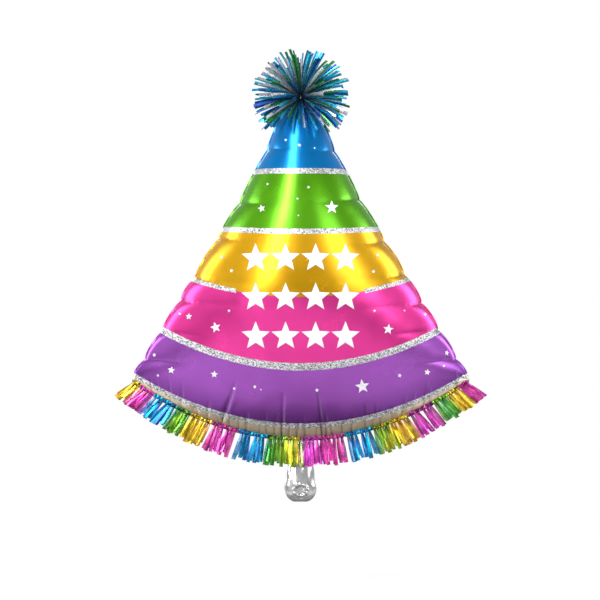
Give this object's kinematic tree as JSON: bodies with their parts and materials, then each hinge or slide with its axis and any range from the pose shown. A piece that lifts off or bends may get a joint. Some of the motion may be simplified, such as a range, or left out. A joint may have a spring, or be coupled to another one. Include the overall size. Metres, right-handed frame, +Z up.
{
  "type": "foil party hat balloon",
  "caption": "Inflated foil balloon shaped as a cone hat, two printed films sealed at the edge, with a tinsel fringe, a tinsel pompom and a filling neck.",
  "frame": {"origin": "middle of the filling neck 36 mm below the middle of the bottom seam, where the ribbon is tied", "axes": "+Z up to the pompom, +X along the bottom seam to the right as seen from the front, -Y out of the printed front"},
  "size_m": [0.6235, 0.19, 0.7701],
  "materials": {
    "printed_film": "metallised, printed in bands",
    "clear_film": "clear grey film",
    "valve_film": "clear film",
    "header_film": "metallised",
    "tie_wire": "plain",
    "pompom_binding": "metallised",
    "fringe_yellow": "metallised",
    "fringe_pink": "metallised",
    "fringe_blue": "metallised",
    "fringe_green": "metallised",
    "fringe_lime": "metallised",
    "fringe_magenta": "metallised",
    "tinsel_sky_blue": "metallised",
    "tinsel_deep_blue": "metallised",
    "tinsel_teal": "metallised",
    "tinsel_green": "metallised",
    "tinsel_silver": "metallised"
  },
  "bodies": {
    "balloon": {"front_panel": "printed_film", "back_panel": "printed_film", "valve_film_front": "valve_film", "valve_film_back": "valve_film", "fringe_tape": "header_film", "fringe_gather_band": "header_film"},
    "neck": {"neck_film_front": "clear_film", "neck_film_back": "clear_film", "valve_inlet_front": "valve_film", "valve_inlet_back": "valve_film"},
    "pompom_tie": {"pompom_tie": "tie_wire"},
    "pompom": {"pompom_core": "pompom_binding", "pompom_strips_sky_blue": "tinsel_sky_blue", "pompom_strips_deep_blue": "tinsel_deep_blue", "pompom_strips_teal": "tinsel_teal", "pompom_strips_green": "tinsel_green", "pompom_strips_silver": "tinsel_silver"},
    "fringe_01_yellow_section": {"fringe_01_yellow": "fringe_yellow"},
    "fringe_02_pink_section": {"fringe_02_pink": "fringe_pink"},
    "fringe_03_blue_section": {"fringe_03_blue": "fringe_blue"},
    "fringe_04_green_section": {"fringe_04_green": "fringe_green"},
    "fringe_05_yellow_section": {"fringe_05_yellow": "fringe_yellow"},
    "fringe_06_pink_section": {"fringe_06_pink": "fringe_pink"},
    "fringe_07_blue_section": {"fringe_07_blue": "fringe_blue"},
    "fringe_08_green_section": {"fringe_08_green": "fringe_green"},
    "fringe_09_lime_section": {"fringe_09_lime": "fringe_lime"},
    "fringe_10_magenta_section": {"fringe_10_magenta": "fringe_magenta"},
    "fringe_11_pink_section": {"fringe_11_pink": "fringe_pink"},
    "fringe_12_blue_section": {"fringe_12_blue": "fringe_blue"},
    "fringe_13_lime_section": {"fringe_13_lime": "fringe_lime"},
    "fringe_14_yellow_section": {"fringe_14_yellow": "fringe_yellow"},
    "fringe_15_magenta_section": {"fringe_15_magenta": "fringe_magenta"},
    "fringe_16_green_section": {"fringe_16_green": "fringe_green"},
    "fringe_17_yellow_section": {"fringe_17_yellow": "fringe_yellow"},
    "fringe_18_pink_section": {"fringe_18_pink": "fringe_pink"}
  },
  "joints": [
    {"name": "neck_fold", "type": "hinge", "parent": "balloon", "child": "neck", "pos_m": [0, 0, 0.029], "axis": [1, 0, 0], "range_deg": [0, 75]},
    {"name": "pompom_lean", "type": "hinge", "parent": "balloon", "child": "pompom_tie", "pos_m": [0, 0, 0.60117], "axis": [0, 1, 0], "range_deg": [-5, 5]},
    {"name": "pompom_nod", "type": "hinge", "parent": "pompom_tie", "child": "pompom", "pos_m": [0, 0, 0.6136], "axis": [1, 0, 0], "range_deg": [-5, 5]},
    {"name": "fringe_01_swing", "type": "hinge", "parent": "balloon", "child": "fringe_01_yellow_section", "pos_m": [-0.28054, -0.0022, 0.1238], "axis": [0.8291, 0, -0.5591], "range_deg": [-80, 80]},
    {"name": "fringe_02_swing", "type": "hinge", "parent": "balloon", "child": "fringe_02_pink_section", "pos_m": [-0.2626, -0.0022, 0.11209], "axis": [0.8456, 0, -0.5338], "range_deg": [-80, 80]},
    {"name": "fringe_03_swing", "type": "hinge", "parent": "balloon", "child": "fringe_03_blue_section", "pos_m": [-0.23175, -0.0022, 0.09375], "axis": [0.8736, 0, -0.4867], "range_deg": [-80, 80]},
    {"name": "fringe_04_swing", "type": "hinge", "parent": "balloon", "child": "fringe_04_green_section", "pos_m": [-0.20018, -0.0022, 0.07736], "axis": [0.9011, 0, -0.4336], "range_deg": [-80, 80]},
    {"name": "fringe_05_swing", "type": "hinge", "parent": "balloon", "child": "fringe_05_yellow_section", "pos_m": [-0.17005, -0.0022, 0.06395], "axis": [0.9257, 0, -0.3784], "range_deg": [-80, 80]},
    {"name": "fringe_06_swing", "type": "hinge", "parent": "balloon", "child": "fringe_06_pink_section", "pos_m": [-0.12915, -0.0022, 0.04925], "axis": [0.955, 0, -0.2965], "range_deg": [-80, 80]},
    {"name": "fringe_07_swing", "type": "hinge", "parent": "balloon", "child": "fringe_07_blue_section", "pos_m": [-0.0818, -0.0022, 0.03724], "axis": [0.9812, 0, -0.1929], "range_deg": [-80, 80]},
    {"name": "fringe_08_swing", "type": "hinge", "parent": "balloon", "child": "fringe_08_green_section", "pos_m": [-0.04377, -0.0022, 0.0315], "axis": [0.9945, 0, -0.1046], "range_deg": [-80, 80]},
    {"name": "fringe_09_swing", "type": "hinge", "parent": "balloon", "child": "fringe_09_lime_section", "pos_m": [-0.01435, -0.0022, 0.02945], "axis": [0.9994, 0, -0.0345], "range_deg": [-80, 0]},
    {"name": "fringe_10_swing", "type": "hinge", "parent": "balloon", "child": "fringe_10_magenta_section", "pos_m": [0.01579, -0.0022, 0.0295], "axis": [0.9993, 0, 0.0379], "range_deg": [-80, 0]},
    {"name": "fringe_11_swing", "type": "hinge", "parent": "balloon", "child": "fringe_11_pink_section", "pos_m": [0.05238, -0.0022, 0.0325], "axis": [0.9922, 0, 0.1249], "range_deg": [-80, 80]},
    {"name": "fringe_12_swing", "type": "hinge", "parent": "balloon", "child": "fringe_12_blue_section", "pos_m": [0.09902, -0.0022, 0.04098], "axis": [0.9728, 0, 0.2315], "range_deg": [-80, 80]},
    {"name": "fringe_13_swing", "type": "hinge", "parent": "balloon", "child": "fringe_13_lime_section", "pos_m": [0.13776, -0.0022, 0.05201], "axis": [0.9493, 0, 0.3144], "range_deg": [-80, 80]},
    {"name": "fringe_14_swing", "type": "hinge", "parent": "balloon", "child": "fringe_14_yellow_section", "pos_m": [0.16789, -0.0022, 0.06308], "axis": [0.9273, 0, 0.3743], "range_deg": [-80, 80]},
    {"name": "fringe_15_swing", "type": "hinge", "parent": "balloon", "child": "fringe_15_magenta_section", "pos_m": [0.2052, -0.0022, 0.07981], "axis": [0.8968, 0, 0.4424], "range_deg": [-80, 80]},
    {"name": "fringe_16_swing", "type": "hinge", "parent": "balloon", "child": "fringe_16_green_section", "pos_m": [0.23893, -0.0022, 0.09781], "axis": [0.8672, 0, 0.498], "range_deg": [-80, 80]},
    {"name": "fringe_17_swing", "type": "hinge", "parent": "balloon", "child": "fringe_17_yellow_section", "pos_m": [0.26117, -0.0022, 0.11118], "axis": [0.8469, 0, 0.5317], "range_deg": [-80, 80]},
    {"name": "fringe_18_swing", "type": "hinge", "parent": "balloon", "child": "fringe_18_pink_section", "pos_m": [0.27911, -0.0022, 0.12283], "axis": [0.8304, 0, 0.5571], "range_deg": [-80, 80]}
  ]
}
